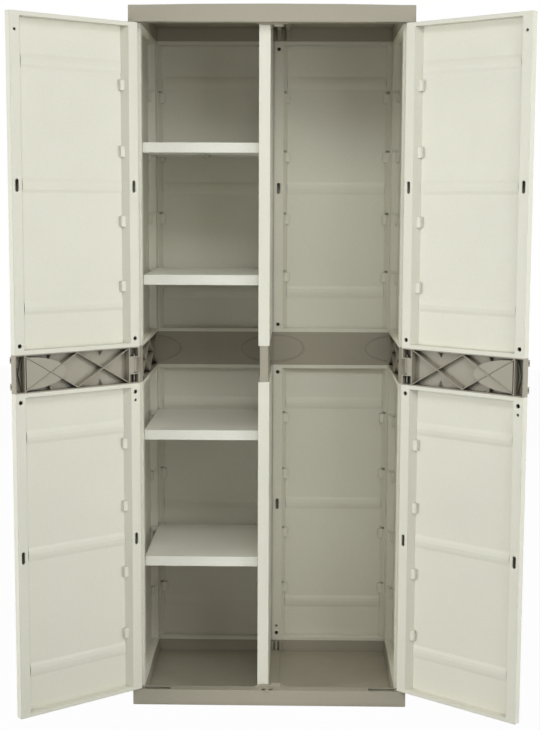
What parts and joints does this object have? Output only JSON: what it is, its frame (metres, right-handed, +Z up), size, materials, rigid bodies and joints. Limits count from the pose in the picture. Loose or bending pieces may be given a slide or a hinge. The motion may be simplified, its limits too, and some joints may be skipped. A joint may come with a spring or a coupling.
{
  "type": "garden storage cabinet",
  "caption": "Tall resin storage cabinet with two hinged doors, a broom bay and a shelved bay, standing with its doors open.",
  "frame": {"origin": "centre of the base's underside, on the floor", "axes": "+X to the cabinet's right seen from the front, -Y out of the front, +Z up"},
  "size_m": [1.2254, 0.6617, 1.763],
  "materials": {
    "ivory_resin": "fine satin moulded resin",
    "taupe_resin": "fine satin moulded resin",
    "pivot_resin": "smooth moulded resin",
    "pin_steel": "bright zinc plated"
  },
  "bodies": {
    "carcass": {"base": "taupe_resin", "divider_band": "taupe_resin", "divider_panel_lower": "ivory_resin", "divider_panel_upper": "ivory_resin", "left_side_band": "taupe_resin", "left_side_panel_lower": "ivory_resin", "left_side_panel_upper": "ivory_resin", "rear_left_band": "taupe_resin", "rear_left_panel_lower": "ivory_resin", "rear_left_panel_upper": "ivory_resin", "rear_right_band": "taupe_resin", "rear_right_panel_lower": "ivory_resin", "rear_right_panel_upper": "ivory_resin", "right_side_band": "taupe_resin", "right_side_panel_lower": "ivory_resin", "right_side_panel_upper": "ivory_resin", "shelf_1": "ivory_resin", "shelf_2": "ivory_resin", "shelf_3": "ivory_resin", "shelf_4": "ivory_resin", "top_cap": "taupe_resin"},
    "left_door": {"left_door_band": "taupe_resin", "left_door_panel_lower": "ivory_resin", "left_door_panel_upper": "ivory_resin", "left_door_pivot_lower": "pivot_resin", "left_door_pivot_upper": "pivot_resin", "left_hinge_pin": "pin_steel"},
    "right_door": {"right_door_band": "taupe_resin", "right_door_panel_lower": "ivory_resin", "right_door_panel_upper": "ivory_resin", "right_door_pivot_lower": "pivot_resin", "right_door_pivot_upper": "pivot_resin", "right_hinge_pin": "pin_steel"}
  },
  "joints": [
    {"name": "left_door_hinge", "type": "hinge", "parent": "carcass", "child": "left_door", "pos_m": [-0.342, -0.212, 0.88], "axis": [0, 0, 1], "range_deg": [-40, 140]},
    {"name": "right_door_hinge", "type": "hinge", "parent": "carcass", "child": "right_door", "pos_m": [0.342, -0.212, 0.88], "axis": [0, 0, 1], "range_deg": [-140, 40]}
  ]
}
